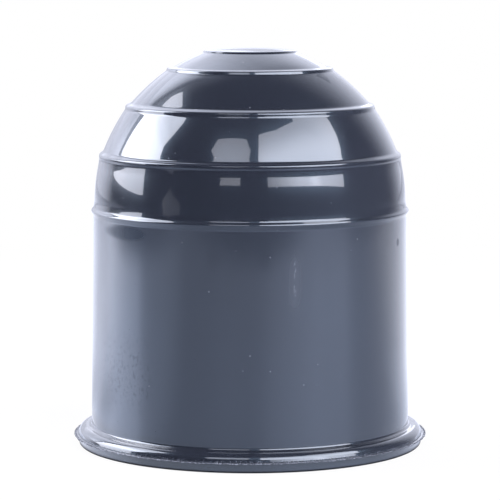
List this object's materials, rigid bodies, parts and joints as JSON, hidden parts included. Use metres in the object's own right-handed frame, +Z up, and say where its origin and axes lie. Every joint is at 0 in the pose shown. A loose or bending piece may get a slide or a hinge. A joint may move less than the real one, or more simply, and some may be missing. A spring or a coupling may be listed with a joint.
{
  "type": "tow ball cover",
  "caption": "Hollow glossy black cap with a ridged, stepped dome, a straight skirt and a rolled rim, made to slip over a coupling ball and keep dirt and grease off.",
  "frame": {"origin": "middle of the rim's flat underside, at the open mouth", "axes": "+Z up along the cover's axis, from the open mouth to the crown; the cover is round, so X and Y are alike"},
  "size_m": [0.061, 0.061, 0.0682],
  "materials": {
    "cover_pvc": "glossy blue-black moulded PVC"
  },
  "bodies": {
    "root": {"cover": "cover_pvc"}
  },
  "joints": []
}
